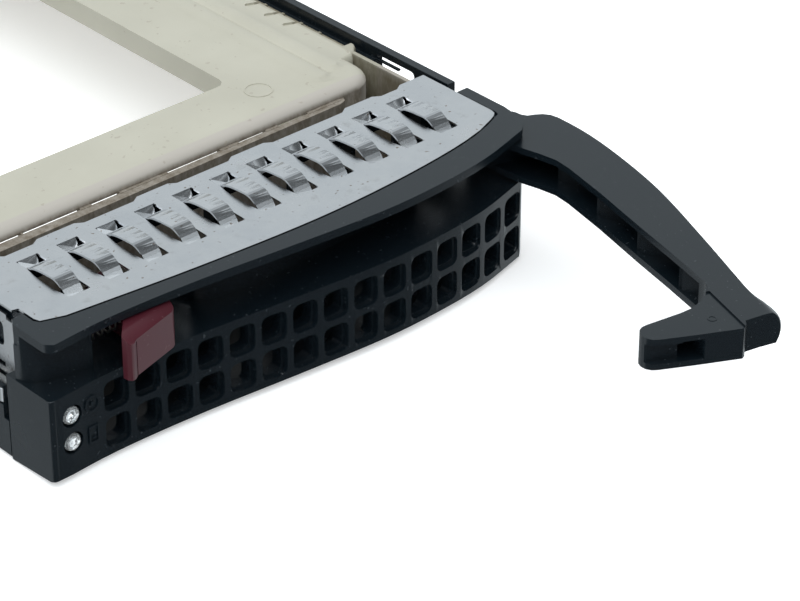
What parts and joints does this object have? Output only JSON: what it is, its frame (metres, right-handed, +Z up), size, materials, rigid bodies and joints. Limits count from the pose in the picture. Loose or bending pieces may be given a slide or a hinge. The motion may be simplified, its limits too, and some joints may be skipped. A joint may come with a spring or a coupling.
{
  "type": "hot-swap drive carrier",
  "caption": "Hot-swap carrier for a 3.5-inch drive bay with a plastic filler in place of the drive, a swing-out lever handle, a release button and a steel spring-finger shield.",
  "frame": {"origin": "middle of the bezel's flat underside, 18 mm behind the front-left corner of the bezel", "axes": "+X towards the side with the lever's hinge, +Y into the drive bay, away from the bezel's face, +Z up; at rest the lever is swung open"},
  "size_m": [0.1148, 0.2499, 0.0279],
  "materials": {
    "black_plastic": "satin moulded, near black with a blue cast",
    "maroon_plastic": "satin moulded",
    "cream_plastic": "satin moulded, dusty along the front",
    "stainless_steel": "bright rolled sheet",
    "clear_plastic": "clear",
    "zinc_steel": "plated"
  },
  "bodies": {
    "carrier": {"front_bezel": "black_plastic", "emi_shield": "stainless_steel", "side_contact": "stainless_steel", "left_rail": "black_plastic", "right_rail": "black_plastic", "drive_filler": "cream_plastic", "lever_pin": "zinc_steel", "button_spring": "zinc_steel", "light_pipe_lower": "clear_plastic", "light_pipe_upper": "clear_plastic", "rail_screw_left_lower": "zinc_steel", "rail_screw_left_upper": "zinc_steel", "filler_screw_left_front": "zinc_steel", "filler_screw_left_rear": "zinc_steel", "rail_screw_right_lower": "zinc_steel", "rail_screw_right_upper": "zinc_steel", "filler_screw_right_front": "zinc_steel", "filler_screw_right_rear": "zinc_steel"},
    "lever": {"lever_handle": "black_plastic"},
    "button": {"release_button": "maroon_plastic"}
  },
  "joints": [
    {"name": "lever_hinge", "type": "hinge", "parent": "carrier", "child": "lever", "pos_m": [0.05068, -0.00557, 0.0207], "axis": [0, 0, 1], "range_deg": [-73.8, 0]},
    {"name": "button_slide", "type": "slide", "parent": "carrier", "child": "button", "axis": [-1, 0, 0], "range_m": [0, 0.0025], "stiffness_N_per_m": 400, "springref_m": -0.002, "deforming": ["button_spring"]}
  ]
}
